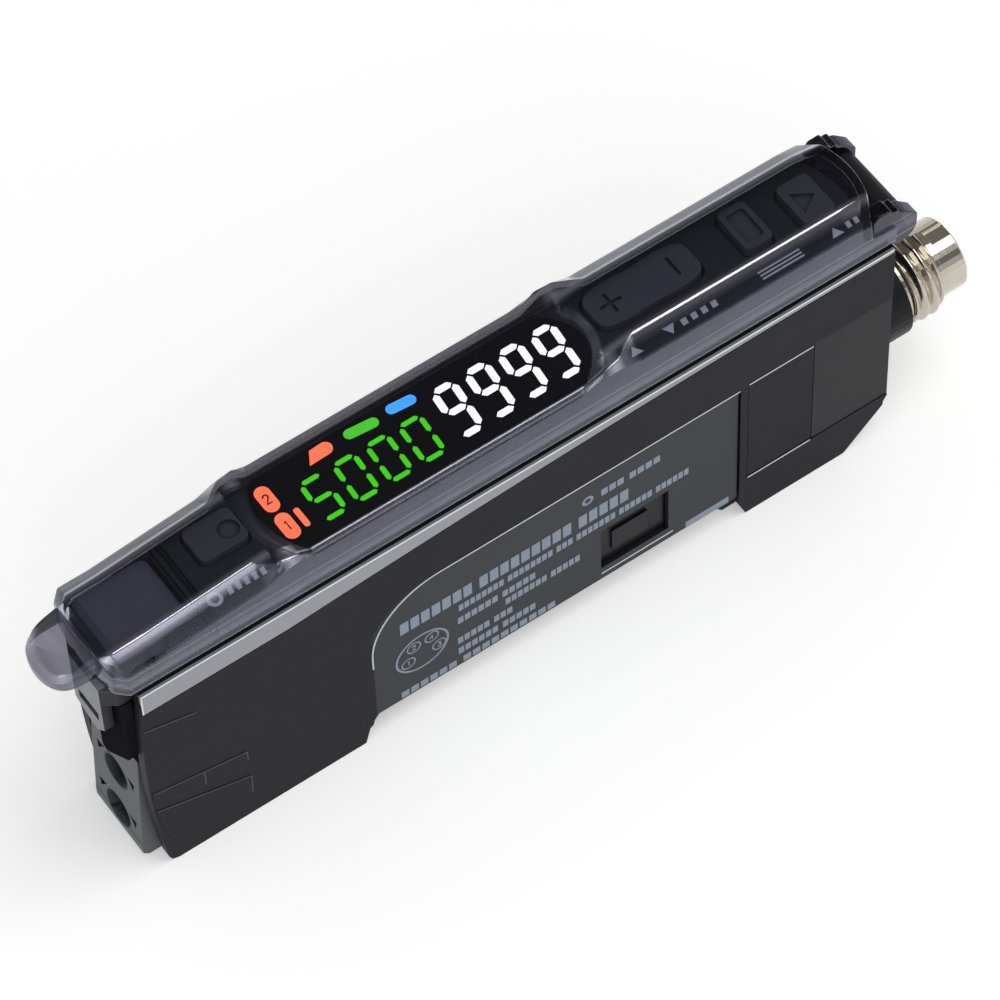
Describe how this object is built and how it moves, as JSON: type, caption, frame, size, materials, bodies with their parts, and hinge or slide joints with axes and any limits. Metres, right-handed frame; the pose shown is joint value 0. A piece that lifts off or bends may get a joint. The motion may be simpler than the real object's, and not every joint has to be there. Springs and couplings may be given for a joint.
{
  "type": "fibre optic sensor amplifier",
  "caption": "Slim rail-mounted fibre optic sensor amplifier with smoky hinged cover, digital display, push keys, fibre lock lever and a round threaded plug",
  "frame": {"origin": "middle of the rail seat, the underside of the case between its two feet", "axes": "+X from the fibre end to the plug end, -Y the label side, +Z away from the rail"},
  "size_m": [0.0861, 0.01, 0.0315],
  "materials": {
    "case_plastic": "fine textured",
    "strip_silver": "satin silver",
    "label_grey": "satin",
    "window_black": "gloss",
    "housing_plastic": "satin",
    "nickel": "nickel plated",
    "inner_plastic": "matte",
    "contact_gold": "gold plated",
    "seal_rubber": "matte",
    "board": "satin",
    "block_grey": "satin",
    "guard_black": "semi gloss",
    "lever_grey": "satin",
    "bezel_black": "semi gloss",
    "steel": "ground",
    "emitter_red": "clear epoxy",
    "receiver_dark": "dark epoxy",
    "chip_black": "matte",
    "ferrite": "matte",
    "shield_tin": "tin plated",
    "switch_grey": "matte",
    "display_grey": "matte",
    "key_dark": "satin",
    "hinge_plastic": "satin",
    "cover_smoke": "clear smoky"
  },
  "bodies": {
    "case": {"main_case": "case_plastic", "side_cover": "case_plastic", "silver_strip": "strip_silver", "label_plate": "label_grey", "service_panel": "case_plastic", "port_window_near": "window_black", "port_window_far": "window_black", "plug_housing": "housing_plastic", "plug_shell": "nickel", "contact_carrier": "inner_plastic", "contact_pin_1": "contact_gold", "contact_pin_2": "contact_gold", "contact_pin_3": "contact_gold", "contact_pin_4": "contact_gold", "seal_ring": "seal_rubber", "connector_board": "board", "fibre_block": "block_grey", "front_guard": "guard_black", "lever_carrier": "bezel_black", "lever_pin": "steel", "optics_holder": "inner_plastic", "emitter_led": "emitter_red", "receiver_photodiode": "receiver_dark", "main_board": "board", "processor_chip": "chip_black", "memory_chip": "chip_black", "supply_chip": "chip_black", "supply_inductor": "ferrite", "receiver_shield": "shield_tin", "port_diode": "inner_plastic", "board_link": "inner_plastic", "key_board": "board", "tune_switch": "switch_grey", "plus_switch": "switch_grey", "minus_switch": "switch_grey", "mode_switch": "switch_grey", "output_switch": "switch_grey", "lamp_block": "display_grey", "green_display": "display_grey", "white_display": "display_grey", "top_bezel": "bezel_black", "display_window": "window_black", "rocker_axle": "steel", "hinge_block": "hinge_plastic", "hinge_pin": "steel"},
    "cover": {"protective_cover": "cover_smoke"},
    "lever": {"lock_lever": "lever_grey"},
    "clamp": {"fibre_clamp": "inner_plastic"},
    "tune": {"tune_key": "key_dark"},
    "mode": {"mode_key": "key_dark"},
    "output": {"output_key": "key_dark"},
    "rocker": {"rocker_key": "key_dark"}
  },
  "joints": [
    {"name": "cover_hinge", "type": "hinge", "parent": "case", "child": "cover", "pos_m": [0.0339, 0, 0.0237], "axis": [0, 1, 0], "range_deg": [0, 120]},
    {"name": "lever_lift", "type": "hinge", "parent": "case", "child": "lever", "pos_m": [-0.03285, 0, 0.0248], "axis": [0, 1, 0], "range_deg": [0, 60]},
    {"name": "clamp_slide", "type": "slide", "parent": "case", "child": "clamp", "axis": [0, 0, 1], "range_m": [0, 0.0003]},
    {"name": "tune_press", "type": "slide", "parent": "case", "child": "tune", "axis": [0, 0, -1], "range_m": [0, 0.00025], "stiffness_N_per_m": 200, "springref_m": -0.0005},
    {"name": "mode_press", "type": "slide", "parent": "case", "child": "mode", "axis": [0, 0, -1], "range_m": [0, 0.00025], "stiffness_N_per_m": 200, "springref_m": -0.0005},
    {"name": "output_press", "type": "slide", "parent": "case", "child": "output", "axis": [0, 0, -1], "range_m": [0, 0.00025], "stiffness_N_per_m": 200, "springref_m": -0.0005},
    {"name": "rocker_tilt", "type": "hinge", "parent": "case", "child": "rocker", "pos_m": [0.0131, 0.00142, 0.0248], "axis": [0, 1, 0], "range_deg": [-3, 3], "stiffness_Nm_per_rad": 0.01}
  ],
  "couplings": [
    {"joint": "lever_lift", "follows": "cover_hinge", "ratio": 0.5},
    {"joint": "clamp_slide", "follows": "cover_hinge", "m_per_rad": 0.000143}
  ]
}
